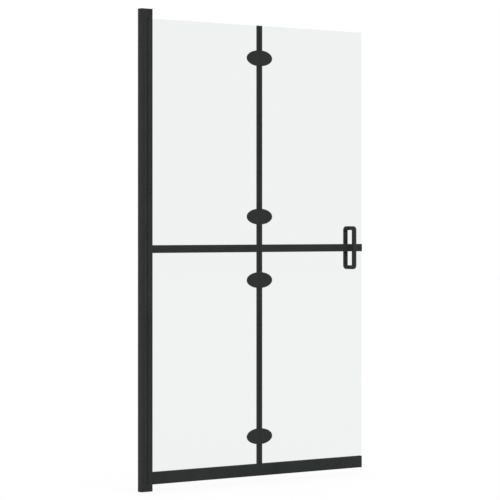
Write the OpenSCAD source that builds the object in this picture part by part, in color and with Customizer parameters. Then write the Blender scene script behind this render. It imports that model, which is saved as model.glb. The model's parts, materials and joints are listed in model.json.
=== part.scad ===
// Folding shower screen with four frosted panes in a slim dark frame.
// The wall leaf turns on pins in a wall profile, and the outer leaf folds on four oval hinges.
// Lengths are in millimetres. X runs from the wall to the free edge, Y from the room side
// to the shower side, and Z up from the foot of the wall profile.

/* [Overall size] */
// Height of the wall profile
height = 1900; // [1800:5:2000]
// Width from the wall to the free edge of the outer panes
width = 1100; // [1000:5:1200]
// Distance from the wall to the fold line
fold_x = 570.5; // [500:0.5:600]
// Thickness of the glass
glass_t = 5; // [4:0.5:6]
// Thickness of the rubber between the glass and what holds it
gasket_t = 0.8; // [0.6:0.1:1]

/* [Wall profile] */
// Width of the fixed channel, measured out from the wall
channel_w = 27; // [24:0.5:30]
// Depth of the wall profile, from front to back
profile_d = 28; // [26:1:32]
// Wall thickness of the channel sides
channel_wall = 2; // [1.6:0.2:2.4]
// Thickness of the channel web that lies on the wall
channel_web = 2.5; // [2:0.5:4]
// Gap between the channel and the turning profile
swing_gap = 1; // [0.6:0.2:1.4]
// Width of the turning profile
pivot_w = 24; // [23:0.5:30]
// Depth of the glass slot in the turning profile
pivot_slot = 10; // [8:1:11]
// Radius of the rounded nose that turns beside the channel
nose_r = 6.5; // [6:0.5:7]
// Radius of the long outer edges of the wall profile
edge_r = 1.5; // [0.5:0.5:2]
// Height of the lower pivot block
foot_block_h = 25; // [20:1:28]
// Height of the upper pivot block
head_block_h = 36; // [30:1:40]
// Gap between the leaves and the pivot blocks
block_gap = 1; // [0.8:0.1:1.4]

/* [Pivots] */
// Radius of the pivot pins
pivot_pin_r = 3; // [2.5:0.25:3.5]
// Running clearance between a pin and its bush
running_fit = 0.05; // [0.02:0.01:0.1]
// Height of the bushes inside the turning profile
bush_h = 16; // [12:1:24]
// Height of the tongues that hold the blocks in the channel
tongue_h = 25; // [20:1:40]
// Radius of the screws that hold the blocks
block_screw_r = 2; // [1.5:0.25:2.25]

/* [Wall fixings] */
// Radius of the screw holes in the channel web
wall_hole_r = 2.75; // [2.25:0.25:3.5]
// Distance between the outer pair of wall holes
wall_holes_outer = 1660; // [1500:20:1660]
// Distance between the inner pair of wall holes
wall_holes_inner = 540; // [400:20:800]

/* [Rails and bars] */
// Height of the bottom rails
rail_h = 48.5; // [40:0.5:60]
// Thickness of the bottom rails from front to back
rail_t = 16; // [14:0.5:17]
// Depth of the glass slot in the bottom rails
rail_slot = 23; // [16:1:24]
// Height of the middle bars
bar_h = 31; // [28:1:40]
// Thickness of the middle bars from front to back
bar_t = 13; // [12:0.5:15]
// Height of the middle bars' centre line
bar_z = 954; // [850:0.5:1050]
// Depth of the two glass slots in the middle bars
bar_slot = 11; // [8:1:12]
// Thickness of the end caps
cap_t = 2; // [1.5:0.5:3]
// How far the bottom rail stops short of the free glass edge
rail_short = 4; // [0:1:10]
// How far the middle bar stops short of the free glass edge
bar_short = 2; // [0:1:10]

/* [Fold strips] */
// Width of the strip on each glass edge at the fold
strip_w = 12.8; // [10:0.2:16]
// Width of the strip's short lip on the shower side
strip_back_w = 6; // [5:0.5:8]
// Thickness of the strips from front to back
strip_t = 13; // [11:0.5:15]
// Gap between the two strips
strip_gap = 1.5; // [1.2:0.1:2]
// Gap between the two middle bars at the fold
bar_gap = 1; // [0.6:0.1:1.6]
// Gap between the two bottom rails, and between the two halves of a hinge
rail_gap = 0.5; // [0.4:0.1:1]

/* [Hinges] */
// Width of a closed oval hinge on the room side
oval_w = 123; // [110:1:130]
// Height of an oval hinge on the room side
oval_h = 65; // [60:1:75]
// Width of the smaller oval on the shower side
back_oval_w = 104; // [98:1:110]
// Height of the smaller oval on the shower side
back_oval_h = 54; // [52:1:58]
// Thickness of a hinge plate
plate_t = 5.5; // [4.5:0.5:6.5]
// How far the hinge pin stands off the back plates
pin_stand_off = 1.2; // [1:0.1:1.8]
// Radius of the hinge knuckles
knuckle_r = 5; // [4.5:0.25:5.5]
// Radius of the hinge pins
hinge_pin_r = 2.5; // [2:0.25:3]
// Length of all the knuckles of a hinge together
knuckle_span = 44; // [36:1:48]
// Length of the middle knuckle
knuckle_mid = 15.4; // [12:0.2:18]
// Distance from a bottom rail up to the first hinge
hinge_from_rail = 112.5; // [80:0.5:200]
// Distance from a middle bar to the hinges above and below it
hinge_from_bar = 114; // [100:1:200]
// Distance from the top edge of the glass down to the highest hinge
hinge_from_top = 133; // [80:1:200]
// Radius of the hinge screws
hinge_screw_r = 2.5; // [2:0.25:3]
// Distance from the fold line to the hinge screws
hinge_screw_x = 34; // [28:1:38]
// Distance between the two screws of a hinge half
hinge_screw_pitch = 22; // [16:1:26]

/* [Handle] */
// Overall height of the handle
handle_h = 181; // [150:1:240]
// Thickness of the square handle bar
handle_bar = 16.5; // [14:0.5:18]
// Radius of the handle bar's long edges
handle_edge_r = 4.5; // [2:0.5:5.5]
// Distance from the middle of the glass to the middle of a grip
grip_reach = 30; // [28:1:36]
// Distance from the free glass edge to the handle
handle_inset = 62; // [50:1:90]
// Radius of the studs that join the two grips
stud_r = 3; // [2.5:0.5:4]
// Thickness of the washers under the handle
washer_t = 1; // [0.5:0.5:2]

/* [Hidden] */
// Small running values shared by several pieces
clear = 0.1;
part_gap = 0.3;
cut = 1;
$fn = 96;
oval_steps = 96;
dark = [0.09, 0.09, 0.09];
rubber = [0.03, 0.03, 0.03];
nylon = [0.14, 0.14, 0.14];
steel = [0.7, 0.71, 0.72];
frost = [0.85, 0.88, 0.87, 0.5];

// Glass and its slots
glass_y = glass_t / 2;
seat_y = glass_y + gasket_t;
gasket_web = 1;
strip_web = 2.25;

// Walls and edges of the rails, bars and strips
bar_edge_r = 1;
rail_wall = 1.8;
rail_skin = 1.5;

// Heights of the leaves
leaf_z0 = foot_block_h + block_gap;
leaf_z1 = height - head_block_h - block_gap;
channel_z0 = foot_block_h;
channel_z1 = height - head_block_h;
rail_z1 = leaf_z0 + rail_h;
bar_z0 = bar_z - bar_h / 2;
bar_z1 = bar_z + bar_h / 2;
lower_z0 = rail_z1 - rail_slot + gasket_web;
lower_z1 = bar_z0 + bar_slot - gasket_web;
upper_z0 = bar_z1 - bar_slot + gasket_web;
upper_z1 = leaf_z1;

// Places along the width
pivot_x0 = channel_w + swing_gap;
pivot_x1 = pivot_x0 + pivot_w;
pivot_y = profile_d / 2;
axis_x = pivot_x0 + nose_r;
axis_y = nose_r - pivot_y;
slot_x0 = pivot_x1 - pivot_slot;
wall_glass_x0 = slot_x0 + gasket_web;
wall_strip_x1 = fold_x - strip_gap / 2;
wall_glass_x1 = wall_strip_x1 - strip_web - gasket_web;
free_strip_x0 = fold_x + strip_gap / 2;
free_glass_x0 = free_strip_x0 + strip_web + gasket_web;
free_glass_x1 = width;
wall_rail_x1 = fold_x - rail_gap / 2;
free_rail_x0 = fold_x + rail_gap / 2;
free_rail_x1 = width - rail_short;
wall_bar_x1 = fold_x - bar_gap / 2;
free_bar_x0 = fold_x + bar_gap / 2;
free_bar_x1 = width - bar_short;

// Walls of the turning profile
pivot_wall = 2;
tube_wall = 1.5;
tube_r = nose_r - tube_wall;
pivot_seat = 1.5;
pivot_slot_y = glass_y + pivot_seat;
chamber_y0 = axis_y + nose_r + pivot_wall - tube_wall;

// Cover strip in the channel
ledge_set_back = 6.5;
ledge_x0 = channel_w - ledge_set_back;
ledge_t = 1.5;
ledge_in = 1.2;
cover_t = 1.6;
cover_leg = 5;
cover_leg_t = 1.5;
cover_x0 = ledge_x0 + ledge_t;
cover_x1 = cover_x0 + cover_t;
channel_in_y = pivot_y - channel_wall;
tongue_x0 = channel_web + part_gap;
tongue_x1 = cover_x0 - cover_leg - part_gap;
tongue_x = (tongue_x0 + tongue_x1) / 2;
block_screw_l = 16;
block_head_r = 2 * block_screw_r;
block_socket_r = 0.6 * block_screw_r;
block_pin_z = foot_block_h / 4;

// Hinges
hinge_zs = [
    rail_z1 + hinge_from_rail,
    bar_z0 - hinge_from_bar,
    bar_z1 + hinge_from_bar,
    leaf_z1 - hinge_from_top
];
pin_y = seat_y + plate_t + pin_stand_off;
plate_y = seat_y + plate_t;
knuckle_clear = 0.4;
screw_hole_in_glass = hinge_screw_r + 2.5;
hinge_head_r = 2 * hinge_screw_r;
hinge_head_h = hinge_head_r - hinge_screw_r;
screw_bite = 3.5;
socket_r = 1.7;

// Handle
handle_x = width - handle_inset;
post_z = (handle_h - handle_bar) / 2;
bend_in = 0.5;
bend_r = handle_bar / 2 + bend_in;
bend_y = grip_reach - bend_r;
bend_z = handle_h / 2 - handle_bar - bend_in;
stud_bite = 9;
stud_hole_in_glass = stud_r + 2.5;

// Shapes shared by several pieces

// Rectangle from one corner to the other with four round corners
module round_rect(x0, y0, x1, y1, r) {
    translate([x0 + r, y0])
        square([x1 - x0 - 2 * r, y1 - y0]);
    translate([x0, y0 + r])
        square([x1 - x0, y1 - y0 - 2 * r]);
    for (x = [x0 + r, x1 - r], y = [y0 + r, y1 - r])
        translate([x, y])
            circle(r = r);
}

// Rectangle from one corner to the other
module rect(x0, y0, x1, y1) {
    translate([x0, y0])
        square([x1 - x0, y1 - y0]);
}

// Stands a section drawn in Y and Z along X
module along_x(x0, x1) {
    translate([x0, 0, 0])
        rotate([90, 0, 90])
            linear_extrude(x1 - x0)
                children();
}

// Stands a section drawn in X and Y along Z
module along_z(z0, z1) {
    translate([0, 0, z0])
        linear_extrude(z1 - z0)
            children();
}

// Gives an outline drawn in X and Z a thickness in Y
module along_y(y0, y1) {
    translate([0, y1, 0])
        rotate([90, 0, 0])
            linear_extrude(y1 - y0)
                children();
}

// Round rod or hole along Y
module rod_y(x, z, y0, y1, r) {
    translate([x, y1, z])
        rotate([90, 0, 0])
            cylinder(r = r, h = y1 - y0);
}

// Box given by its two far corners
module box(x0, y0, z0, x1, y1, z1) {
    translate([x0, y0, z0])
        cube([x1 - x0, y1 - y0, z1 - z0]);
}

// Outline of an oval about its centre
module oval(w, h) {
    polygon([for (i = [0:oval_steps - 1]) [w / 2 * cos(i * 360 / oval_steps), h / 2 * sin(i * 360 / oval_steps)]]);
}

// One half of an oval, from its inner edge outwards, on the wall side (-1) or the free side (1)
module half_oval(side, inner, w, h) {
    intersection() {
        oval(w, h);
        rect(min(side * inner, side * w), -h, max(side * inner, side * w), h);
    }
}

// Fixed wall frame

module channel_section() {
    difference() {
        round_rect(0, -pivot_y, channel_w, pivot_y, edge_r);
        rect(channel_web, -channel_in_y, channel_w + cut, channel_in_y);
    }
    rect(ledge_x0, -channel_in_y - clear, ledge_x0 + ledge_t, -channel_in_y + ledge_in);
    rect(ledge_x0, channel_in_y - ledge_in, ledge_x0 + ledge_t, channel_in_y + clear);
}

module wall_hole(z) {
    translate([-cut, 0, z])
        rotate([0, 90, 0])
            cylinder(r = wall_hole_r, h = channel_web + 2 * cut);
}

module wall_channel() {
    color(dark)
        difference() {
            along_z(channel_z0, channel_z1)
                channel_section();
            for (side = [-1, 1]) {
                wall_hole(height / 2 + side * wall_holes_outer / 2);
                wall_hole(height / 2 + side * wall_holes_inner / 2);
            }
            block_screw_hole(channel_z0 + tongue_h / 2);
            block_screw_hole(channel_z1 - tongue_h / 2);
        }
}

module channel_cover() {
    leg_y = channel_in_y - ledge_in - clear;
    color(nylon)
        along_z(channel_z0, channel_z1) {
            rect(cover_x0, -channel_in_y + clear, cover_x1, channel_in_y - clear);
            rect(cover_x0 - cover_leg, leg_y - cover_leg_t, cover_x0, leg_y);
            rect(cover_x0 - cover_leg, -leg_y, cover_x0, cover_leg_t - leg_y);
        }
}

module wall_seal() {
    seal_w = 8;
    lip_t = 1.6;
    lip_gap = 0.45;
    seal_base = 1.2;
    color(rubber)
        along_z(channel_z0, channel_z1) {
            rect(cover_x1, -seal_w / 2, cover_x1 + seal_base, seal_w / 2);
            rect(cover_x1, -lip_t / 2, pivot_x0 - lip_gap, lip_t / 2);
        }
}

module block_body(z0, z1) {
    along_z(z0, z1)
        round_rect(0, -pivot_y, pivot_x1, pivot_y, edge_r);
}

module block_tongue(z0, z1) {
    box(tongue_x0, clear - channel_in_y, z0, tongue_x1, channel_in_y - clear, z1);
}

// Shank and countersunk head of a block screw, with the shank lengthened by a margin
module block_screw_body(z, extra = 0) {
    rod_y(tongue_x, z, pivot_y - block_screw_l, pivot_y + extra, block_screw_r);
    translate([tongue_x, pivot_y, z])
        rotate([90, 0, 0])
            cylinder(r1 = block_head_r, r2 = block_screw_r, h = block_head_r - block_screw_r);
}

module block_screw_hole(z) {
    block_screw_body(z, cut);
}

module bottom_pivot_block() {
    color(nylon)
        difference() {
            union() {
                block_body(0, foot_block_h);
                block_tongue(foot_block_h, foot_block_h + tongue_h);
            }
            translate([axis_x, axis_y, block_pin_z])
                cylinder(r = pivot_pin_r, h = foot_block_h);
            block_screw_hole(channel_z0 + tongue_h / 2);
        }
}

module top_pivot_block() {
    color(nylon)
        difference() {
            union() {
                block_body(channel_z1, height);
                block_tongue(channel_z1 - tongue_h, channel_z1);
            }
            translate([axis_x, axis_y, height - block_pin_z - head_block_h])
                cylinder(r = pivot_pin_r, h = head_block_h);
            block_screw_hole(channel_z1 - tongue_h / 2);
        }
}

module pivot_pins() {
    color(steel) {
        translate([axis_x, axis_y, block_pin_z])
            cylinder(r = pivot_pin_r, h = leaf_z0 + bush_h - part_gap - block_pin_z);
        translate([axis_x, axis_y, leaf_z1 - bush_h + part_gap])
            cylinder(r = pivot_pin_r, h = height - block_pin_z - leaf_z1 + bush_h - part_gap);
    }
}

module block_screw(z) {
    difference() {
        block_screw_body(z);
        rod_y(tongue_x, z, pivot_y - block_head_r / 3, pivot_y + cut, block_socket_r);
    }
}

module block_screws() {
    color(steel) {
        block_screw(channel_z0 + tongue_h / 2);
        block_screw(channel_z1 - tongue_h / 2);
    }
}

// Wall leaf

module pivot_section() {
    difference() {
        union() {
            translate([axis_x, axis_y])
                circle(r = nose_r);
            round_rect(pivot_x0, axis_y - edge_r, pivot_x1, pivot_y, edge_r);
            round_rect(axis_x - edge_r, -pivot_y, pivot_x1, pivot_y, edge_r);
        }
        translate([axis_x, axis_y])
            circle(r = tube_r);
        rect(slot_x0, -pivot_slot_y, pivot_x1 + cut, pivot_slot_y);
        rect(pivot_x0 + pivot_wall, chamber_y0, slot_x0 - pivot_wall, pivot_y - pivot_wall);
        rect(slot_x0, pivot_slot_y + tube_wall, pivot_x1 - pivot_wall, pivot_y - pivot_wall);
        rect(slot_x0, pivot_wall - pivot_y, pivot_x1 - pivot_wall, -pivot_slot_y - tube_wall);
    }
}

module pivot_profile() {
    color(dark)
        along_z(leaf_z0, leaf_z1)
            pivot_section();
}

module pivot_bush(z, up) {
    flange_r = nose_r - clear;
    flange_t = block_gap - part_gap;
    translate([axis_x, axis_y, z])
        mirror([0, 0, up ? 0 : 1])
            difference() {
                union() {
                    cylinder(r = tube_r, h = bush_h);
                    translate([0, 0, -flange_t])
                        cylinder(r = flange_r, h = flange_t);
                }
                translate([0, 0, -block_gap])
                    cylinder(r = pivot_pin_r + running_fit, h = bush_h + 2 * block_gap);
            }
}

module pivot_bushes() {
    color(nylon) {
        pivot_bush(leaf_z0, true);
        pivot_bush(leaf_z1, false);
    }
}

module profile_gaskets() {
    color(rubber)
        for (z = [[lower_z0, lower_z1], [upper_z0, upper_z1]])
            along_z(z[0], z[1])
                difference() {
                    rect(slot_x0, -pivot_slot_y, pivot_x1, pivot_slot_y);
                    rect(wall_glass_x0, -glass_y, pivot_x1 + cut, glass_y);
                }
}

// Holes for the hinge screws that pass one pane
module hinge_holes_in_glass(x, zs) {
    for (z = zs, side = [-1, 1])
        rod_y(x, z + side * hinge_screw_pitch / 2, -glass_y - cut, glass_y + cut, screw_hole_in_glass);
}

module wall_upper_glass() {
    color(frost)
        difference() {
            box(wall_glass_x0, -glass_y, upper_z0, wall_glass_x1, glass_y, upper_z1);
            hinge_holes_in_glass(fold_x - hinge_screw_x, [hinge_zs[2], hinge_zs[3]]);
        }
}

module wall_lower_glass() {
    color(frost)
        difference() {
            box(wall_glass_x0, -glass_y, lower_z0, wall_glass_x1, glass_y, lower_z1);
            hinge_holes_in_glass(fold_x - hinge_screw_x, [hinge_zs[0], hinge_zs[1]]);
        }
}

module bar_section() {
    difference() {
        round_rect(-bar_t / 2, bar_z0, bar_t / 2, bar_z1, bar_edge_r);
        rect(-seat_y, bar_z0 - cut, seat_y, bar_z0 + bar_slot);
        rect(-seat_y, bar_z1 - bar_slot, seat_y, bar_z1 + cut);
    }
}

module rail_section() {
    floor_z = rail_z1 - rail_slot;
    pocket_y0 = seat_y + rail_skin;
    pocket_y1 = rail_t / 2 - rail_skin;
    difference() {
        round_rect(-rail_t / 2, leaf_z0, rail_t / 2, rail_z1, bar_edge_r);
        rect(-seat_y, floor_z, seat_y, rail_z1 + cut);
        rect(rail_wall - rail_t / 2, leaf_z0 + rail_wall, rail_t / 2 - rail_wall, floor_z - rail_wall);
        rect(pocket_y0, floor_z + rail_wall, pocket_y1, rail_z1 - rail_wall);
        rect(-pocket_y1, floor_z + rail_wall, -pocket_y0, rail_z1 - rail_wall);
    }
}

// End cap of a rail, with a plug that sits in the rail's chamber
module rail_cap(x0, x1, plug_x0, plug_x1) {
    inset = rail_wall + clear;
    along_x(x0, x1)
        round_rect(-rail_t / 2, leaf_z0, rail_t / 2, rail_z1, bar_edge_r);
    box(plug_x0, inset - rail_t / 2, leaf_z0 + inset, plug_x1, rail_t / 2 - inset, rail_z1 - rail_slot - inset);
}

// End cap of a bar, which closes its two slots
module bar_cap(x0, x1) {
    along_x(x0, x1)
        round_rect(-bar_t / 2, bar_z0, bar_t / 2, bar_z1, bar_edge_r);
}

module wall_mid_bar() {
    color(dark)
        along_x(pivot_x1, wall_bar_x1 - cap_t)
            bar_section();
}

module wall_bar_cap() {
    color(nylon)
        bar_cap(wall_bar_x1 - cap_t, wall_bar_x1);
}

module wall_bottom_rail() {
    color(dark)
        along_x(pivot_x1, wall_rail_x1 - cap_t)
            rail_section();
}

module wall_rail_cap() {
    color(nylon)
        rail_cap(wall_rail_x1 - cap_t, wall_rail_x1, wall_rail_x1 - 3 * cap_t, wall_rail_x1 - cap_t);
}

// Rubber channels in the slots of a bar and a rail
module slot_gaskets(x0, x1) {
    along_x(x0, x1)
        difference() {
            rect(-seat_y, rail_z1 - rail_slot, seat_y, rail_z1);
            rect(-glass_y, lower_z0, glass_y, rail_z1 + cut);
        }
    along_x(x0, x1)
        difference() {
            rect(-seat_y, bar_z0, seat_y, bar_z0 + bar_slot);
            rect(-glass_y, bar_z0 - cut, glass_y, lower_z1);
        }
    along_x(x0, x1)
        difference() {
            rect(-seat_y, bar_z1 - bar_slot, seat_y, bar_z1);
            rect(-glass_y, upper_z0, glass_y, bar_z1 + cut);
        }
}

module wall_bar_gaskets() {
    color(rubber)
        slot_gaskets(pivot_x1, wall_glass_x1);
}

// Room that the hinge plates take from the strips and their rubber
module hinge_room(zs) {
    for (z = zs)
        translate([fold_x, 0, z]) {
            along_y(-strip_t, -glass_y)
                oval(oval_w + 2 * part_gap, oval_h + 2 * part_gap);
            along_y(glass_y, strip_t)
                oval(back_oval_w + 2 * part_gap, back_oval_h + 2 * part_gap);
        }
}

// Puts what is drawn from a strip's fold edge outwards on the wall side (-1) or the free side (1)
module fold_side(side) {
    translate([fold_x + side * strip_gap / 2, 0, 0])
        mirror([side < 0 ? 1 : 0, 0, 0])
            children();
}

// Section of a strip: a wide lip on the room side, a short one on the shower side, and a web at the fold
module strip_section() {
    difference() {
        round_rect(0, -strip_t / 2, strip_w, strip_t / 2, bar_edge_r);
        rect(strip_web, -seat_y, strip_w + cut, seat_y);
        rect(strip_back_w, 0, strip_w + cut, strip_t);
    }
}

// Section of the rubber in a strip
module strip_gasket_section() {
    difference() {
        rect(strip_web, -seat_y, strip_w, seat_y);
        rect(strip_web + gasket_web, -glass_y, strip_w + cut, glass_y);
        rect(strip_back_w, 0, strip_w + cut, strip_t);
    }
}

module strip(side, z0, z1, zs) {
    difference() {
        fold_side(side)
            along_z(z0, z1)
                strip_section();
        hinge_room(zs);
    }
}

module strip_gasket(side, z0, z1, zs) {
    difference() {
        fold_side(side)
            along_z(z0, z1)
                strip_gasket_section();
        hinge_room(zs);
    }
}

module wall_upper_strip() {
    color(dark)
        strip(-1, bar_z1, leaf_z1, [hinge_zs[2], hinge_zs[3]]);
}

module wall_lower_strip() {
    color(dark)
        strip(-1, rail_z1, bar_z0, [hinge_zs[0], hinge_zs[1]]);
}

module wall_strip_gaskets() {
    color(rubber) {
        strip_gasket(-1, rail_z1, bar_z0, [hinge_zs[0], hinge_zs[1]]);
        strip_gasket(-1, bar_z1, leaf_z1, [hinge_zs[2], hinge_zs[3]]);
    }
}

module fold_seals() {
    bead_r = strip_gap / 2;
    bead_y = -1.5;
    color(rubber)
        for (z = [[rail_z1, bar_z0], [bar_z1, leaf_z1]])
            along_z(z[0], z[1])
                intersection() {
                    translate([wall_strip_x1, bead_y])
                        circle(r = bead_r);
                    rect(wall_strip_x1, bead_y - bead_r, fold_x, bead_y + bead_r);
                }
}

// Holes for the two screws of a hinge half, seen from its centre
module half_screws(x, y0, y1, r) {
    for (side = [-1, 1])
        rod_y(x, side * hinge_screw_pitch / 2, y0, y1, r);
}

// Countersinks for the two screw heads of a hinge half
module half_countersinks(x) {
    for (side = [-1, 1])
        translate([x, plate_y, side * hinge_screw_pitch / 2])
            rotate([90, 0, 0])
                cylinder(r1 = hinge_head_r, r2 = hinge_screw_r, h = hinge_head_h);
}

// Front plate of one hinge half, which takes the ends of its two screws
module front_plate(side, z) {
    color(dark)
        translate([fold_x, 0, z])
            difference() {
                along_y(-plate_y, -seat_y)
                    half_oval(side, rail_gap / 2, oval_w, oval_h);
                half_screws(side * hinge_screw_x, -seat_y - screw_bite, 0, hinge_screw_r);
            }
}

// Knuckle barrel from one height to another
module barrel(z0, z1, r) {
    translate([0, pin_y, z0])
        cylinder(r = r, h = z1 - z0);
}

// Back plate of the wall half, with the two outer knuckles
module wall_back(z) {
    mid = knuckle_mid / 2 + part_gap;
    top = knuckle_span / 2;
    color(dark)
        translate([fold_x, 0, z])
            difference() {
                union() {
                    difference() {
                        along_y(seat_y, plate_y)
                            half_oval(-1, rail_gap / 2, back_oval_w, back_oval_h);
                        barrel(-mid, mid, knuckle_r + knuckle_clear);
                    }
                    barrel(mid, top, knuckle_r);
                    barrel(-top, -mid, knuckle_r);
                }
                barrel(-top - cut, top + cut, hinge_pin_r);
                half_screws(-hinge_screw_x, 0, plate_y + cut, hinge_screw_r);
                half_countersinks(-hinge_screw_x);
            }
}

// Back plate of the free half, with the middle knuckle
module free_back(z) {
    mid = knuckle_mid / 2;
    top = knuckle_span / 2 + part_gap;
    color(dark)
        translate([fold_x, 0, z])
            difference() {
                union() {
                    difference() {
                        along_y(seat_y, plate_y)
                            half_oval(1, rail_gap / 2, back_oval_w, back_oval_h);
                        barrel(-top, top, knuckle_r + knuckle_clear);
                    }
                    free_back_web(mid);
                    barrel(-mid, mid, knuckle_r);
                }
                barrel(-mid - cut, mid + cut, hinge_pin_r + running_fit);
                half_screws(hinge_screw_x, 0, plate_y + cut, hinge_screw_r);
                half_countersinks(hinge_screw_x);
            }
}

// The part of the free back plate that carries its knuckle
module free_back_web(mid) {
    box(rail_gap / 2, seat_y, -mid, knuckle_r + 2 * knuckle_clear, plate_y, mid);
}

module hinge_1_wall_front() {
    front_plate(-1, hinge_zs[0]);
}

module hinge_2_wall_front() {
    front_plate(-1, hinge_zs[1]);
}

module hinge_3_wall_front() {
    front_plate(-1, hinge_zs[2]);
}

module hinge_4_wall_front() {
    front_plate(-1, hinge_zs[3]);
}

module hinge_1_wall_back() {
    wall_back(hinge_zs[0]);
}

module hinge_2_wall_back() {
    wall_back(hinge_zs[1]);
}

module hinge_3_wall_back() {
    wall_back(hinge_zs[2]);
}

module hinge_4_wall_back() {
    wall_back(hinge_zs[3]);
}

module hinge_1_free_front() {
    front_plate(1, hinge_zs[0]);
}

module hinge_2_free_front() {
    front_plate(1, hinge_zs[1]);
}

module hinge_3_free_front() {
    front_plate(1, hinge_zs[2]);
}

module hinge_4_free_front() {
    front_plate(1, hinge_zs[3]);
}

module hinge_1_free_back() {
    free_back(hinge_zs[0]);
}

module hinge_2_free_back() {
    free_back(hinge_zs[1]);
}

module hinge_3_free_back() {
    free_back(hinge_zs[2]);
}

module hinge_4_free_back() {
    free_back(hinge_zs[3]);
}

// Rubber under both plates of one hinge half, with bosses that line the holes in the glass
module half_gasket(side) {
    inner = strip_gap / 2 + strip_web + gasket_web;
    x = side * hinge_screw_x;
    difference() {
        union() {
            along_y(-seat_y, -glass_y)
                half_oval(side, inner, oval_w, oval_h);
            along_y(glass_y, seat_y)
                half_oval(side, inner, back_oval_w, back_oval_h);
            half_screws(x, -glass_y - gasket_t / 2, glass_y + gasket_t / 2, screw_hole_in_glass);
        }
        half_screws(x, -seat_y - cut, seat_y + cut, hinge_screw_r);
    }
}

module wall_hinge_gaskets() {
    color(rubber)
        for (z = hinge_zs)
            translate([fold_x, 0, z])
                half_gasket(-1);
}

module free_hinge_gaskets() {
    color(rubber)
        for (z = hinge_zs)
            translate([fold_x, 0, z])
                half_gasket(1);
}

// The two countersunk screws of one hinge half
module half_screw_set(x) {
    for (side = [-1, 1])
        translate([x, 0, side * hinge_screw_pitch / 2])
            difference() {
                union() {
                    rod_y(0, 0, -seat_y - screw_bite, plate_y, hinge_screw_r);
                    translate([0, plate_y, 0])
                        rotate([90, 0, 0])
                            cylinder(r1 = hinge_head_r, r2 = hinge_screw_r, h = hinge_head_h);
                }
                translate([0, plate_y + cut, 0])
                    rotate([90, 0, 0])
                        cylinder(r = socket_r, h = cut + hinge_head_h, $fn = 6);
            }
}

module wall_hinge_screws() {
    color(steel)
        for (z = hinge_zs)
            translate([fold_x, 0, z])
                half_screw_set(-hinge_screw_x);
}

module free_hinge_screws() {
    color(steel)
        for (z = hinge_zs)
            translate([fold_x, 0, z])
                half_screw_set(hinge_screw_x);
}

module hinge_pins() {
    color(steel)
        for (z = hinge_zs)
            translate([fold_x, 0, z])
                barrel(-knuckle_span / 2, knuckle_span / 2, hinge_pin_r);
}

// Free leaf

// Hole for a handle stud in a pane
module stud_hole(z) {
    rod_y(handle_x, z, -glass_y - cut, glass_y + cut, stud_hole_in_glass);
}

module free_upper_glass() {
    color(frost)
        difference() {
            box(free_glass_x0, -glass_y, upper_z0, free_glass_x1, glass_y, upper_z1);
            hinge_holes_in_glass(fold_x + hinge_screw_x, [hinge_zs[2], hinge_zs[3]]);
            stud_hole(bar_z + post_z);
        }
}

module free_lower_glass() {
    color(frost)
        difference() {
            box(free_glass_x0, -glass_y, lower_z0, free_glass_x1, glass_y, lower_z1);
            hinge_holes_in_glass(fold_x + hinge_screw_x, [hinge_zs[0], hinge_zs[1]]);
            stud_hole(bar_z - post_z);
        }
}

module free_mid_bar() {
    color(dark)
        along_x(free_bar_x0 + cap_t, free_bar_x1 - cap_t)
            bar_section();
}

module free_bar_caps() {
    color(nylon) {
        bar_cap(free_bar_x0, free_bar_x0 + cap_t);
        difference() {
            bar_cap(free_bar_x1 - cap_t, free_bar_x1);
            box(free_bar_x1 - 2 * cap_t, -glass_y, bar_z0 - cut, free_bar_x1 + cut, glass_y, lower_z1);
            box(free_bar_x1 - 2 * cap_t, -glass_y, upper_z0, free_bar_x1 + cut, glass_y, bar_z1 + cut);
        }
    }
}

module free_bottom_rail() {
    color(dark)
        along_x(free_rail_x0 + cap_t, free_rail_x1 - cap_t)
            rail_section();
}

module free_rail_caps() {
    color(nylon) {
        rail_cap(free_rail_x0, free_rail_x0 + cap_t, free_rail_x0 + cap_t, free_rail_x0 + 3 * cap_t);
        difference() {
            rail_cap(free_rail_x1 - cap_t, free_rail_x1, free_rail_x1 - 3 * cap_t, free_rail_x1 - cap_t);
            box(free_rail_x1 - 2 * cap_t, -glass_y, lower_z0, free_rail_x1 + cut, glass_y, rail_z1 + cut);
        }
    }
}

module free_bar_gaskets() {
    color(rubber)
        slot_gaskets(free_glass_x0, min(free_rail_x1, free_bar_x1) - cap_t);
}

module free_upper_strip() {
    color(dark)
        strip(1, bar_z1, leaf_z1, [hinge_zs[2], hinge_zs[3]]);
}

module free_lower_strip() {
    color(dark)
        strip(1, rail_z1, bar_z0, [hinge_zs[0], hinge_zs[1]]);
}

module free_strip_gaskets() {
    color(rubber) {
        strip_gasket(1, rail_z1, bar_z0, [hinge_zs[0], hinge_zs[1]]);
        strip_gasket(1, bar_z1, leaf_z1, [hinge_zs[2], hinge_zs[3]]);
    }
}

// Handle

module handle_section() {
    half = handle_bar / 2;
    round_rect(-half, -half, half, half, handle_edge_r);
}

// Upper half of a grip that reaches towards the shower side, about the handle's centre
module half_grip() {
    translate([0, grip_reach, 0])
        linear_extrude(bend_z)
            handle_section();
    translate([0, bend_y, bend_z])
        rotate([90, 0, 90])
            rotate_extrude(angle = 90)
                translate([bend_r, 0])
                    handle_section();
    translate([0, bend_y, bend_z + bend_r])
        rotate([90, 0, 0])
            linear_extrude(bend_y - glass_y - washer_t)
                handle_section();
}

module grip() {
    foot_y = glass_y + washer_t;
    difference() {
        union() {
            half_grip();
            mirror([0, 0, 1])
                half_grip();
        }
        for (side = [-1, 1])
            rod_y(0, side * post_z, foot_y - cut, foot_y + stud_bite, stud_r);
    }
}

module handle_back() {
    color(dark)
        translate([handle_x, 0, bar_z])
            grip();
}

module handle_front() {
    color(dark)
        translate([handle_x, 0, bar_z])
            mirror([0, 1, 0])
                grip();
}

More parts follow.
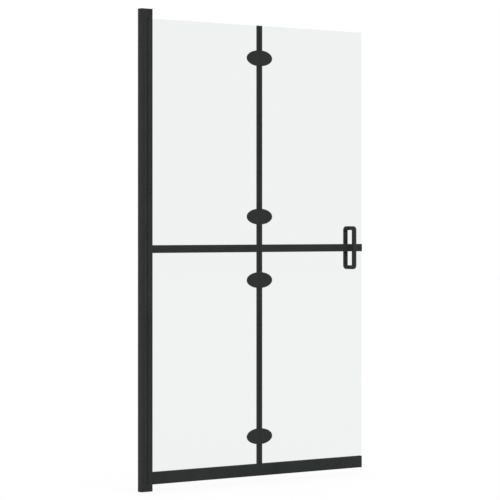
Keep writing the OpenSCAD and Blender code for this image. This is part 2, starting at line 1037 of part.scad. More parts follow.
// Rubber washers under the handle, joined by bosses that line the holes in the glass
module handle_washers() {
    half = handle_bar / 2;
    color(rubber)
        for (side = [-1, 1])
            translate([handle_x, 0, bar_z + side * post_z])
                difference() {
                    union() {
                        along_y(glass_y, glass_y + washer_t)
                            handle_section();
                        along_y(-glass_y - washer_t, -glass_y)
                            handle_section();
                        rod_y(0, 0, -glass_y - washer_t / 2, glass_y + washer_t / 2, stud_hole_in_glass);
                    }
                    rod_y(0, 0, -half, half, stud_r);
                }
}

module handle_studs() {
    reach = glass_y + washer_t + stud_bite;
    color(steel)
        for (side = [-1, 1])
            rod_y(handle_x, bar_z + side * post_z, -reach, reach, stud_r);
}

wall_channel();
channel_cover();
wall_seal();
top_pivot_block();
bottom_pivot_block();
pivot_pins();
block_screws();
pivot_profile();
pivot_bushes();
profile_gaskets();
wall_upper_glass();
wall_lower_glass();
wall_mid_bar();
wall_bar_cap();
wall_bottom_rail();
wall_rail_cap();
wall_bar_gaskets();
wall_upper_strip();
wall_lower_strip();
wall_strip_gaskets();
fold_seals();
hinge_1_wall_front();
hinge_1_wall_back();
hinge_2_wall_front();
hinge_2_wall_back();
hinge_3_wall_front();
hinge_3_wall_back();
hinge_4_wall_front();
hinge_4_wall_back();
wall_hinge_gaskets();
wall_hinge_screws();
hinge_pins();
free_upper_glass();
free_lower_glass();
free_mid_bar();
free_bar_caps();
free_bottom_rail();
free_rail_caps();
free_bar_gaskets();
free_upper_strip();
free_lower_strip();
free_strip_gaskets();
hinge_1_free_front();
hinge_1_free_back();
hinge_2_free_front();
hinge_2_free_back();
hinge_3_free_front();
hinge_3_free_back();
hinge_4_free_front();
hinge_4_free_back();
free_hinge_gaskets();
free_hinge_screws();
handle_front();
handle_back();
handle_washers();
handle_studs();
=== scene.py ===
"""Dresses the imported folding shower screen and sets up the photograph's view of it.

The file is laid out as an add-on and run as a script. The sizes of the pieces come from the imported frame.
"""

import json
import math

import bmesh
import bpy
from mathutils import Matrix, Vector


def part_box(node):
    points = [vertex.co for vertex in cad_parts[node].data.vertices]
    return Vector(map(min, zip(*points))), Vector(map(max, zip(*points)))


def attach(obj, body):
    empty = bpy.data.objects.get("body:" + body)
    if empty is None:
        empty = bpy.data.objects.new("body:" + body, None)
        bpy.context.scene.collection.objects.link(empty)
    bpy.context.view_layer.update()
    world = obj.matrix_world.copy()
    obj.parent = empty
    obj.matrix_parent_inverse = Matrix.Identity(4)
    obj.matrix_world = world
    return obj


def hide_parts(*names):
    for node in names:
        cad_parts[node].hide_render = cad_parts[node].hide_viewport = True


bl_info = {
    "name": "Folding Shower Screen",
    "version": (1, 0, 0),
    "blender": (4, 5, 0),
    "location": "3D View > Sidebar > Shower Screen",
    "description": "Gives the packed shower screen its finishes, its smooth hinges and handle, and a stage",
    "category": "Add Mesh",
}

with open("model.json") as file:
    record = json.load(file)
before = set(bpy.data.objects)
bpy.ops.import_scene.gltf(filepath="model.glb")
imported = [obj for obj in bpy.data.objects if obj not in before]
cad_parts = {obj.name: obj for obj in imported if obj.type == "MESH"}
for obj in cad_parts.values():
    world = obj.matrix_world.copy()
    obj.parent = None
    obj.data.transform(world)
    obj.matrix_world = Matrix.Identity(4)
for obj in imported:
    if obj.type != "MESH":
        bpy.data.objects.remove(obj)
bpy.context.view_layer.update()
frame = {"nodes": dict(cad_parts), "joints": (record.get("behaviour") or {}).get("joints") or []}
nodes = frame["nodes"]

# The two leaves, each with the side of the fold on which it lies along X, and the hinges that join them
LEAVES = (("wall", -1), ("free", 1))
HINGES = (1, 2, 3, 4)

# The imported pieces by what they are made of
FRAME_NODES = (
    "wall_channel", "pivot_profile",
    "wall_mid_bar", "wall_bottom_rail", "wall_upper_strip", "wall_lower_strip",
    "free_mid_bar", "free_bottom_rail", "free_upper_strip", "free_lower_strip",
)
GLASS_NODES = ("wall_upper_glass", "wall_lower_glass", "free_upper_glass", "free_lower_glass")
PLASTIC_NODES = (
    "channel_cover", "top_pivot_block", "bottom_pivot_block", "pivot_bushes",
    "wall_bar_cap", "wall_rail_cap", "free_bar_caps", "free_rail_caps",
)
RUBBER_NODES = (
    "wall_seal", "profile_gaskets", "wall_bar_gaskets", "wall_strip_gaskets", "wall_hinge_gaskets",
    "fold_seals", "free_bar_gaskets", "free_strip_gaskets", "free_hinge_gaskets", "handle_washers",
)
STEEL_NODES = (
    "pivot_pins", "block_screws", "wall_hinge_screws", "hinge_pins", "free_hinge_screws", "handle_studs",
)

# The caps whose edges are rounded a little
EASED_NODES = ("wall_bar_cap", "free_bar_caps")

# How many steps a round shape has
OVAL_STEPS = 96
RIM_STEPS = 4
TURN_STEPS = 64
BEND_STEPS = 16
CORNER_STEPS = 8
CAP_EDGE_STEPS = 2

# How far the cutting tools reach, in metres: a pin's bore up and down from the middle of its hinge, and a
# countersink behind and before the face
BORE_REACH = 0.03
SINK_REACH = 0.02
SINK_RISE = 0.002

# The bends beyond which an edge is rounded, and how near two corners lie that count as one
RIM_BEND = math.radians(40)
CAP_BEND = math.radians(50)
WELD_GAP = 1e-6

# The glass. It is rim where its normal lies less than RIM_TILT across the pane. Its gloss follows from the
# index, and only what exceeds the gloss seen from ahead counts as sheen. The covers say how far the sheen
# and the rim hide the tint
RIM_TILT = 0.6
GLASS_INDEX = 1.45
GLOSS_FROM_AHEAD = 0.037
SHEEN_COVER = 0.25
RIM_COVER = 0.8

# Each lamp's name, the place from which it shines and the setting that holds its strength
LAMPS = (
    ("key_lamp", (-1.6, -3.4, 3.2), "key_strength"),
    ("fill_lamp", (3.4, -2.2, 2.2), "fill_strength"),
    ("back_lamp", (0.6, 3.6, 3.0), "fill_strength"),
)

# The camera's sensor in millimetres, and how far it sees in metres
SENSOR_WIDTH = 36.0
VIEW_END = 200.0


# Shader maths

class Wire:
    """A node socket that takes part in arithmetic. Each operation adds a Math node to its finish."""

    def __init__(self, finish, socket):
        self.finish = finish
        self.socket = socket

    def calculate(self, operation, first, second=0.0):
        return self.finish.add("ShaderNodeMath", {"operation": operation}, {0: first, 1: second})

    def __add__(self, other):
        return self.calculate("ADD", self, other)

    def __radd__(self, other):
        return self.calculate("ADD", other, self)

    def __sub__(self, other):
        return self.calculate("SUBTRACT", self, other)

    def __rsub__(self, other):
        return self.calculate("SUBTRACT", other, self)

    def __mul__(self, other):
        return self.calculate("MULTIPLY", self, other)

    def __rmul__(self, other):
        return self.calculate("MULTIPLY", other, self)

    def __lt__(self, other):
        return self.calculate("LESS_THAN", self, other)

    def __gt__(self, other):
        return self.calculate("GREATER_THAN", self, other)

    def absolute(self):
        return self.calculate("ABSOLUTE", self)

    def within(self):
        """The value, kept between 0 and 1."""
        return self.calculate("MINIMUM", self.calculate("MAXIMUM", self, 0.0), 1.0)

    def swing(self, width):
        """A noise from 0 to 1, turned into one of the given width about 0."""
        return (self - 0.5) * width


class Finish:
    """A material or a world in the making. It adds nodes of any type and joins their sockets."""

    def __init__(self, owner):
        owner.use_nodes = True
        self.owner = owner
        self.tree = owner.node_tree
        self.tree.nodes.clear()

    def add(self, kind, settings=None, inputs=None, output=0):
        """Adds one node, sets it up, fills or links its sockets, and returns one of its outputs."""
        node = self.tree.nodes.new(kind)
        for name, value in (settings or {}).items():
            setattr(node, name, value)
        for name, value in (inputs or {}).items():
            if isinstance(value, Wire):
                self.tree.links.new(value.socket, node.inputs[name])
            else:
                node.inputs[name].default_value = value
        return Wire(self, node.outputs[output]) if node.outputs else None

    def place(self, output="Object"):
        """Where a point is on its own piece, in metres, or its normal there."""
        return self.add("ShaderNodeTexCoord", output=output)

    def noise(self, size, detail=2.0, stretch=(1.0, 1.0, 1.0)):
        """Noise from 0 to 1, with grains of about the size in metres, longer where stretch is small."""
        scale = tuple(factor / size for factor in stretch)
        spread = self.add("ShaderNodeVectorMath", {"operation": "MULTIPLY"}, {0: self.place(), 1: scale})
        return self.add("ShaderNodeTexNoise", inputs={"Vector": spread, "Scale": 1.0, "Detail": detail})

    def blend(self, amount, first, second):
        """A colour between two others. A Mix node has its colours at inputs 6 and 7 and at output 2."""
        return self.add("ShaderNodeMix", {"data_type": "RGBA"}, {0: amount, 6: first, 7: second}, output=2)

    def varied(self, amount, colour, darkest, lightest):
        """A colour that runs from a darker to a lighter shade, both given as factors."""
        return self.blend(amount, shade(colour, darkest), shade(colour, lightest))

    def bump(self, height, depth, strength=1.0):
        """A normal from a height, where a height of 1 stands the given depth in metres above 0."""
        return self.add("ShaderNodeBump", inputs={"Height": height, "Distance": depth, "Strength": strength})

    def surface(self, shader, output="ShaderNodeOutputMaterial"):
        """Makes the shader the one that shows, and returns the material or world."""
        self.add(output, inputs={"Surface": shader})
        return self.owner


def shade(colour, factor=1.0):
    """A colour as the four numbers that a socket takes, darker or lighter by a factor."""
    return (*(min(1.0, part * factor) for part in colour), 1.0)


def grey(level):
    """A grey as the four numbers that a socket takes."""
    return (level, level, level, 1.0)


# Finishes

def powder_coat(name, colour, roughness):
    """Matt black powder coat: orange peel, fine grit, and a gloss that varies over a hand's width."""
    finish = Finish(bpy.data.materials.new(name))
    peel = finish.noise(size=0.0016)
    cloud = finish.noise(size=0.09)
    grit = finish.noise(size=0.0005)
    mottle = (0.5 + peel.swing(0.9) + cloud.swing(0.9) + grit.swing(1.2)).within()
    shader = finish.add("ShaderNodeBsdfPrincipled", inputs={
        "Base Color": finish.varied(mottle, colour, darkest=0.72, lightest=1.28),
        "Roughness": roughness + cloud.swing(0.1) + peel.swing(0.06),
        "Specular IOR Level": 0.07,
        "Normal": finish.bump(peel + grit * 0.5, depth=0.00012),
    })
    return finish.surface(shader)


def moulded_plastic(name, colour, roughness):
    """Matt moulded plastic with a fine spark-eroded grain."""
    finish = Finish(bpy.data.materials.new(name))
    grain = finish.noise(size=0.0006, detail=4.0)
    flow = finish.noise(size=0.03, stretch=(1.0, 1.0, 0.3))
    shader = finish.add("ShaderNodeBsdfPrincipled", inputs={
        "Base Color": finish.varied(flow, colour, darkest=0.85, lightest=1.15),
        "Roughness": roughness + grain.swing(0.14),
        "Specular IOR Level": 0.1,
        "Normal": finish.bump(grain, depth=0.00005, strength=0.8),
    })
    return finish.surface(shader)


def soft_rubber(name, colour, roughness):
    """Dull extruded rubber with faint drawn lines along its length."""
    finish = Finish(bpy.data.materials.new(name))
    bloom = finish.noise(size=0.012, detail=3.0)
    lines = finish.noise(size=0.0007, stretch=(1.0, 1.0, 0.02))
    shader = finish.add("ShaderNodeBsdfPrincipled", inputs={
        "Base Color": finish.varied(bloom, colour, darkest=0.8, lightest=1.35),
        "Roughness": roughness + bloom.swing(0.14),
        "Specular IOR Level": 0.12,
        "Normal": finish.bump(lines + bloom * 0.5, depth=0.00004, strength=0.6),
    })
    return finish.surface(shader)


def turned_steel(name, colour, roughness):
    """Turned stainless steel: fine rings round its length and a satin gloss."""
    finish = Finish(bpy.data.materials.new(name))
    rings = finish.noise(size=0.0005, stretch=(0.1, 1.0, 1.0))
    stain = finish.noise(size=0.008)
    shader = finish.add("ShaderNodeBsdfPrincipled", inputs={
        "Base Color": finish.varied(stain, colour, darkest=0.9, lightest=1.05),
        "Metallic": 1.0,
        "Roughness": roughness + rings.swing(0.16),
        "Normal": finish.bump(rings, depth=0.00003, strength=0.5),
    })
    return finish.surface(shader)


def screen_glass(name, tint, rim_colour, satin, veil):
    """Toughened glass. Its faces tint what is behind them and shine at low angles, and its rim is ground."""
    finish = Finish(bpy.data.materials.new(name))
    etch = finish.noise(size=0.0009, detail=3.0)
    sweep = finish.noise(size=0.35)
    across = finish.add("ShaderNodeSeparateXYZ", inputs={0: finish.place("Normal")}, output="Y")
    rim = across.absolute() < RIM_TILT
    outside = 1.0 - finish.add("ShaderNodeNewGeometry", output="Backfacing")
    tinted = finish.add("ShaderNodeBsdfTransparent", inputs={"Color": shade(tint)})
    plain = finish.add("ShaderNodeBsdfTransparent", inputs={"Color": grey(1.0)})
    clear = finish.add("ShaderNodeMixShader", inputs={0: rim, 1: tinted, 2: plain})
    satin_skin = finish.add("ShaderNodeBsdfPrincipled", inputs={
        "Base Color": finish.blend(rim, shade(tint), shade(rim_colour)),
        "Roughness": satin + etch.swing(0.1),
        "Specular IOR Level": 0.4,
        "Normal": finish.bump(etch, depth=0.00002, strength=0.4),
    })
    gloss = finish.add("ShaderNodeFresnel", inputs={"IOR": GLASS_INDEX})
    sheen = (gloss - GLOSS_FROM_AHEAD).within() * SHEEN_COVER
    cover = (outside * (sheen + veil * (sweep + etch) + rim * RIM_COVER)).within()
    return finish.surface(finish.add("ShaderNodeMixShader", inputs={0: cover, 1: clear, 2: satin_skin}))


def wear(material, names):
    """Gives one material to CAD nodes by name."""
    for name in names:
        materials = nodes[name].data.materials
        materials.clear()
        materials.append(material)


def soften_edges(names, width):
    """Rounds the sharp edges of CAD nodes a little, without touching their meshes."""
    for name in names:
        weld = nodes[name].modifiers.new("weld", "WELD")
        weld.merge_threshold = WELD_GAP
        bevel = nodes[name].modifiers.new("edge", "BEVEL")
        bevel.width = width
        bevel.segments = CAP_EDGE_STEPS
        bevel.limit_method = "ANGLE"
        bevel.angle_limit = CAP_BEND
        bevel.harden_normals = True


# Shapes

def keep(name, mesh, material, body, replaced, place=(0.0, 0.0, 0.0)):
    """Makes a finished piece from a mesh: it rides on a body and stands for the CAD node named."""
    piece = bpy.data.objects.new(name, mesh)
    bpy.context.scene.collection.objects.link(piece)
    piece.location = place
    if not mesh.materials:
        mesh.materials.append(material)
    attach(piece, body)
    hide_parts(replaced)


def finished(shape, name, smooth_angle):
    """Turns a bmesh into a mesh with smooth faces and sharp edges where it bends more than the angle."""
    bmesh.ops.recalc_face_normals(shape, faces=shape.faces)
    mesh = bpy.data.meshes.new(name)
    shape.to_mesh(mesh)
    shape.free()
    mesh.shade_smooth()
    mesh.set_sharp_from_angle(angle=smooth_angle)
    return mesh


def bridge(shape, rings):
    """Closes rings of as many corners each into one solid, with a flat face at both ends."""
    for low, high in zip(rings, rings[1:]):
        for step in range(len(low)):
            after = (step + 1) % len(low)
            shape.faces.new((low[step], low[after], high[after], high[step]))
    shape.faces.new(list(reversed(rings[0])))
    shape.faces.new(rings[-1])


def turned(shape, profile, centre, axis):
    """Adds a solid of revolution: its profile gives radii and distances along the axis from the centre."""
    turn = Vector((0.0, 0.0, 1.0)).rotation_difference(Vector(axis)).to_matrix().to_4x4()
    place = Matrix.Translation(centre) @ turn
    rings = []
    for radius, distance in profile:
        ring = []
        for step in range(TURN_STEPS):
            angle = 2 * math.pi * step / TURN_STEPS
            spot = Vector((radius * math.cos(angle), radius * math.sin(angle), distance))
            ring.append(shape.verts.new(place @ spot))
        rings.append(ring)
    bridge(shape, rings)


def swept(stations, outline):
    """A closed bar through stations, each a centre and the outward direction of its section in Y and Z."""
    shape = bmesh.new()
    rings = []
    for centre, outward in stations:
        spots = [centre + Vector((across, 0.0, 0.0)) + outward * out for across, out in outline]
        rings.append([shape.verts.new(spot) for spot in spots])
    bridge(shape, rings)
    return shape


def joined(mesh, tool_shape, operation, name, smooth_angle):
    """The mesh with another solid added (UNION) or taken out (DIFFERENCE)."""
    body = bpy.data.objects.new(name, mesh)
    bpy.context.scene.collection.objects.link(body)
    tool_name = name + "_tool"
    tool = bpy.data.objects.new(tool_name, finished(tool_shape, tool_name, smooth_angle))
    bpy.context.scene.collection.objects.link(tool)
    work = body.modifiers.new("work", "BOOLEAN")
    work.operation = operation
    work.solver = "EXACT"
    work.object = tool
    depsgraph = bpy.context.evaluated_depsgraph_get()
    result = bpy.data.meshes.new_from_object(body.evaluated_get(depsgraph))
    bpy.data.objects.remove(body)
    bpy.data.objects.remove(tool)
    if not result.polygons:
        raise RuntimeError(name + " came out empty")
    result.shade_smooth()
    result.set_sharp_from_angle(angle=smooth_angle)
    return result


def half_oval(half_width, half_height, inner, side):
    """The outline in X and Z of half an oval. Its straight edge stands inner metres from the fold line."""
    start = math.acos(inner / half_width)
    points = []
    for step in range(OVAL_STEPS + 1):
        angle = start - 2 * start * step / OVAL_STEPS
        points.append((side * half_width * math.cos(angle), half_height * math.sin(angle)))
    return points


def plate_shape(outline, y_low, y_high, edge):
    """A plate of even thickness with rounded rims, from an outline in X and Z."""
    shape = bmesh.new()
    low = [shape.verts.new((x, y_low, z)) for x, z in outline]
    face = shape.faces.new(low)
    grown = bmesh.ops.extrude_face_region(shape, geom=[face])
    moved = [part for part in grown["geom"] if isinstance(part, bmesh.types.BMVert)]
    bmesh.ops.translate(shape, verts=moved, vec=(0.0, y_high - y_low, 0.0))
    rims = [side for side in shape.edges if side.calc_face_angle(0.0) > RIM_BEND]
    bmesh.ops.bevel(shape, geom=rims, offset=edge, segments=RIM_STEPS, profile=0.5, affect="EDGES",
                    clamp_overlap=True)
    return shape


def barrel_profile(low, high, radius, edge):
    """The profile of a knuckle barrel with eased ends."""
    return ((radius - edge, low), (radius, low + edge), (radius, high - edge), (radius - edge, high))


def countersink_profile(radius):
    """The profile of a countersunk hole, whose cone is half as deep as it is wide at the face."""
    shank = radius / 2
    return ((shank, -SINK_REACH), (shank, -shank), (radius, 0.0), (radius, SINK_RISE))


def square_outline(half, corner):
    """The outline of a square bar with rounded edges, about its centre."""
    points = []
    for quarter in range(4):
        turn = quarter * math.pi / 2
        centre_x = (half - corner) * (1 if quarter in (0, 3) else -1)
        centre_y = (half - corner) * (1 if quarter in (0, 1) else -1)
        for step in range(CORNER_STEPS + 1):
            angle = turn + math.pi / 2 * step / CORNER_STEPS
            points.append((centre_x + corner * math.cos(angle), centre_y + corner * math.sin(angle)))
    return points


# Hinges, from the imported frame's own sizes

def fold_line():
    """Where the fold joint stands, in X and Y."""
    joint = next(joint for joint in frame["joints"] if joint["name"] == "fold")
    return joint["pos_m"][0], joint["pos_m"][1]


def hinge_centre(number):
    """The point on the fold line at a hinge's middle height."""
    low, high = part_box(f"hinge_{number}_wall_front")
    return (fold_line()[0], 0.0, (low.z + high.z) / 2)


def plate_outline(leaf, face, side):
    """The half-oval outline of a hinge plate, about the hinge's centre."""
    fold_x = fold_line()[0]
    low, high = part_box(f"hinge_1_{leaf}_{face}")
    front_low, front_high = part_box(f"hinge_1_{leaf}_front")
    outer = abs((low.x if side < 0 else high.x) - fold_x)
    inner = abs((front_high.x if side < 0 else front_low.x) - fold_x)
    return half_oval(outer, (high.z - low.z) / 2, inner, side)


def plate_faces(leaf):
    """How far the two faces of a plate stand from the middle of the glass."""
    low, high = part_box(f"hinge_1_{leaf}_front")
    return -high.y, -low.y


def pin_radius():
    """The radius of a hinge pin."""
    low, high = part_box("hinge_pins")
    return (high.x - low.x) / 2


def knuckle_spans(leaf, forms):
    """The lowest and highest points of each knuckle barrel of one leaf, about the hinge's centre."""
    pins_low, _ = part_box("hinge_pins")
    top = hinge_centre(1)[2] - pins_low.z
    middle = top * forms.middle_knuckle
    if leaf == "free":
        return [(-middle, middle)]
    return [(middle + forms.knuckle_split, top), (-top, -middle - forms.knuckle_split)]


def screw_spots(leaf, plate_y):
    """The centres of the two screw heads of a hinge half, about the hinge's centre."""
    low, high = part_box(leaf + "_hinge_screws")
    head_radius = (high.x - low.x) / 2
    x = (low.x + high.x) / 2 - fold_line()[0]
    pitch = hinge_centre(1)[2] - low.z - head_radius
    return [Vector((x, plate_y, pitch)), Vector((x, plate_y, -pitch))]


def front_plate(leaf, side, forms):
    """The plain front plate of one hinge half."""
    near, far = plate_faces(leaf)
    shape = plate_shape(plate_outline(leaf, "front", side), -far, -near, forms.hinge_edge)
    return finished(shape, leaf + "_front_plate", forms.smooth_angle)


def back_plate(leaf, side, forms):
    """The back plate of one hinge half, with its knuckles, pockets, pin hole and countersinks."""
    name = leaf + "_back_plate"
    near, far = plate_faces(leaf)
    pin = Vector((0.0, fold_line()[1], 0.0))
    upright = (0.0, 0.0, 1.0)
    _, back_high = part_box("hinge_1_wall_back")
    radius = back_high.y - pin.y
    shape = plate_shape(plate_outline(leaf, "back", side), near, far, forms.hinge_edge)
    mesh = finished(shape, name, forms.smooth_angle)

    pockets = bmesh.new()
    pocket = radius + forms.knuckle_gap
    for low, high in knuckle_spans("free" if leaf == "wall" else "wall", forms):
        ends = ((pocket, low - forms.knuckle_split), (pocket, high + forms.knuckle_split))
        turned(pockets, ends, pin, upright)
    mesh = joined(mesh, pockets, "DIFFERENCE", name, forms.smooth_angle)

    knuckles = bmesh.new()
    for low, high in knuckle_spans(leaf, forms):
        turned(knuckles, barrel_profile(low, high, radius, forms.knuckle_edge), pin, upright)
    mesh = joined(mesh, knuckles, "UNION", name, forms.smooth_angle)

    holes = bmesh.new()
    turned(holes, ((pin_radius(), -BORE_REACH), (pin_radius(), BORE_REACH)), pin, upright)
    for spot in screw_spots(leaf, far):
        turned(holes, countersink_profile(forms.countersink), spot, (0.0, 1.0, 0.0))
    return joined(mesh, holes, "DIFFERENCE", name, forms.smooth_angle)


# Handle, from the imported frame's own sizes

def grip_mesh(node, side, forms):
    """One D-shaped grip: two posts from the glass, two tight bends and a straight bar."""
    low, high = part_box(node)
    half = (high.x - low.x) / 2
    foot = min(abs(low.y), abs(high.y))
    reach = max(abs(low.y), abs(high.y)) - half
    middle = Vector(((low.x + high.x) / 2, 0.0, (low.z + high.z) / 2))
    bend = half + forms.grip_bend
    bend_y = reach - bend
    bend_z = (high.z - low.z) / 2 - half - bend
    upper = [(Vector((0.0, foot, bend_z + bend)), Vector((0.0, 0.0, 1.0)))]
    for step in range(BEND_STEPS + 1):
        angle = math.pi / 2 * (1 - step / BEND_STEPS)
        outward = Vector((0.0, math.cos(angle), math.sin(angle)))
        upper.append((Vector((0.0, bend_y, bend_z)) + outward * bend, outward))
    lower = [(Vector((0.0, spot.y, -spot.z)), Vector((0.0, out.y, -out.z))) for spot, out in reversed(upper)]
    turn = Matrix.Diagonal((1.0, side, 1.0))
    stations = [(middle + turn @ spot, turn @ out) for spot, out in upper + lower]
    return finished(swept(stations, square_outline(half, forms.grip_corner)), node, forms.smooth_angle)


# Stage

def seen_directly(finish):
    """1 for rays from the camera, reflections and glass, and 0 for rays that only carry light."""
    camera = finish.add("ShaderNodeLightPath", output="Is Camera Ray")
    glossy = finish.add("ShaderNodeLightPath", output="Is Glossy Ray")
    through = finish.add("ShaderNodeLightPath", output="Is Transmission Ray")
    return (camera + glossy + through).within()


def lay_floor(stage):
    """A wide white floor that keeps the screen's shadow, and is seen as white elsewhere."""
    finish = Finish(bpy.data.materials.new("studio_floor"))
    grain = finish.noise(size=0.6)
    matt = finish.add("ShaderNodeBsdfDiffuse", inputs={"Color": finish.blend(grain, grey(0.86), grey(0.88))})
    white = finish.add("ShaderNodeEmission", inputs={"Color": grey(1.0), "Strength": stage.floor_glow})
    share = seen_directly(finish) * stage.floor_share
    shown = finish.add("ShaderNodeMixShader", inputs={0: share, 1: matt, 2: white})
    half = stage.floor_size / 2
    corners = [(-half, -half, 0.0), (half, -half, 0.0), (half, half, 0.0), (-half, half, 0.0)]
    mesh = bpy.data.meshes.new("floor")
    mesh.from_pydata(corners, [], [(0, 1, 2, 3)])
    mesh.materials.append(finish.surface(shown))
    floor = bpy.data.objects.new("floor", mesh)
    bpy.context.scene.collection.objects.link(floor)


def light_room(scene, stage):
    """Even light from all round, seen as white, with broad lights from the front, the right and the back."""
    finish = Finish(bpy.data.worlds.new("studio"))
    strength = stage.sky + seen_directly(finish) * (1.0 - stage.sky)
    sky = finish.add("ShaderNodeBackground", inputs={"Color": grey(1.0), "Strength": strength})
    scene.world = finish.surface(sky, "ShaderNodeOutputWorld")
    for name, place, strength_name in LAMPS:
        hang_lamp(name, Vector(place), stage.light_spread, getattr(stage, strength_name))


def hang_lamp(name, place, spread, strength):
    """A broad, even light that comes from a place's direction, equal over the whole floor."""
    data = bpy.data.lights.new(name, "SUN")
    data.angle = spread
    data.energy = strength
    lamp = bpy.data.objects.new(name, data)
    lamp.location = place
    lamp.rotation_euler = (-place).to_track_quat("-Z", "Y").to_euler()
    bpy.context.scene.collection.objects.link(lamp)


def stand_camera(scene, stage):
    """A level camera at the photograph's place, heading and lens."""
    data = bpy.data.cameras.new("photo_camera")
    data.sensor_width = SENSOR_WIDTH
    data.lens = stage.camera_lens
    data.shift_y = stage.camera_shift
    data.clip_end = VIEW_END
    camera = bpy.data.objects.new("photo_camera", data)
    camera.location = stage.camera_place
    camera.rotation_euler = (math.pi / 2, 0.0, -stage.camera_heading)
    scene.collection.objects.link(camera)
    scene.camera = camera


# Settings

class ShowerFinishes(bpy.types.PropertyGroup):
    """Colours and gloss of the screen."""

    coat: bpy.props.FloatVectorProperty(
        name="Coat", description="Colour of the powder coat on the frame and the hinges", subtype="COLOR",
        default=(0.0279, 0.0298, 0.0290), min=0.0, max=1.0)
    coat_roughness: bpy.props.FloatProperty(
        name="Coat Roughness", description="Roughness of the powder coat on the frame",
        default=0.5, min=0.1, max=1.0)
    hinge_roughness: bpy.props.FloatProperty(
        name="Hinge Roughness", description="Roughness of the powder coat on the hinges",
        default=0.46, min=0.1, max=1.0)
    # The handle's coat is the frame's coat painted about a tenth lighter. This is painted light that makes
    # up for the shade on the grips, most of all on the back grip, which gets its light through the glass
    handle_coat_painted_lighter: bpy.props.FloatVectorProperty(
        name="Handle Coat", description="Colour of the powder coat on the handle", subtype="COLOR",
        default=(0.0306, 0.0327, 0.0318), min=0.0, max=1.0)
    handle_roughness: bpy.props.FloatProperty(
        name="Handle Roughness", description="Roughness of the powder coat on the handle",
        default=0.44, min=0.1, max=1.0)
    plastic: bpy.props.FloatVectorProperty(
        name="Plastic", description="Colour of the blocks, caps and cover", subtype="COLOR",
        default=(0.0260, 0.0264, 0.0266), min=0.0, max=1.0)
    plastic_roughness: bpy.props.FloatProperty(
        name="Plastic Roughness", description="Roughness of the blocks, caps and cover",
        default=0.59, min=0.1, max=1.0)
    rubber: bpy.props.FloatVectorProperty(
        name="Rubber", description="Colour of the seals and gaskets", subtype="COLOR",
        default=(0.007, 0.007, 0.007), min=0.0, max=1.0)
    rubber_roughness: bpy.props.FloatProperty(
        name="Rubber Roughness", description="Roughness of the seals and gaskets",
        default=0.79, min=0.1, max=1.0)
    steel: bpy.props.FloatVectorProperty(
        name="Steel", description="Colour of the pins, screws and studs", subtype="COLOR",
        default=(0.56, 0.57, 0.58), min=0.0, max=1.0)
    steel_roughness: bpy.props.FloatProperty(
        name="Steel Roughness", description="Roughness of the pins, screws and studs",
        default=0.34, min=0.1, max=1.0)
    glass: bpy.props.FloatVectorProperty(
        name="Glass", description="What one face of a pane lets through, as a colour", subtype="COLOR",
        default=(0.9308, 0.9435, 0.9395), min=0.0, max=1.0)
    glass_rim: bpy.props.FloatVectorProperty(
        name="Glass Rim", description="Colour of the ground edges of the panes", subtype="COLOR",
        default=(0.70, 0.83, 0.77), min=0.0, max=1.0)
    satin: bpy.props.FloatProperty(
        name="Satin", description="Roughness of the satin faces and the rims of the glass",
        default=0.35, min=0.0, max=1.0)
    veil: bpy.props.FloatProperty(
        name="Veil", description="How much of the frosting shows of itself",
        default=0.001, min=0.0, max=1.0)


class ShowerForms(bpy.types.PropertyGroup):
    """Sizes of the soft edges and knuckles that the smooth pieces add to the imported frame."""

    hinge_edge: bpy.props.FloatProperty(
        name="Hinge Edge", description="Radius along the rims of the oval plates",
        default=0.0008, min=0.0001, max=0.002, unit="LENGTH")
    cap_edge: bpy.props.FloatProperty(
        name="Cap Edge", description="Radius on the edges of the bars' end caps",
        default=0.0003, min=0.0001, max=0.001, unit="LENGTH")
    smooth_angle: bpy.props.FloatProperty(
        name="Smooth Angle", description="Edges that bend more than this stay crisp", subtype="ANGLE",
        default=math.radians(32), min=0.0, max=math.pi)
    middle_knuckle: bpy.props.FloatProperty(
        name="Middle Knuckle", description="Length of the middle knuckle, as a share of the pin's length",
        default=0.35, min=0.2, max=0.6)
    knuckle_split: bpy.props.FloatProperty(
        name="Knuckle Split", description="Gap between two knuckles on a pin",
        default=0.0003, min=0.0001, max=0.001, unit="LENGTH")
    knuckle_gap: bpy.props.FloatProperty(
        name="Knuckle Gap", description="Room round a knuckle in the other half's plate",
        default=0.0004, min=0.0001, max=0.001, unit="LENGTH")
    knuckle_edge: bpy.props.FloatProperty(
        name="Knuckle Edge", description="Chamfer at the ends of the hinge knuckles",
        default=0.0004, min=0.0001, max=0.001, unit="LENGTH")
    countersink: bpy.props.FloatProperty(
        name="Countersink", description="Radius of a hinge screw's countersink",
        default=0.00515, min=0.003, max=0.008, unit="LENGTH")
    grip_corner: bpy.props.FloatProperty(
        name="Grip Corner", description="Radius of the handle bar's long edges",
        default=0.0045, min=0.001, max=0.0055, unit="LENGTH")
    grip_bend: bpy.props.FloatProperty(
        name="Grip Bend", description="Inner radius of the handle's bends",
        default=0.0005, min=0.0002, max=0.01, unit="LENGTH")


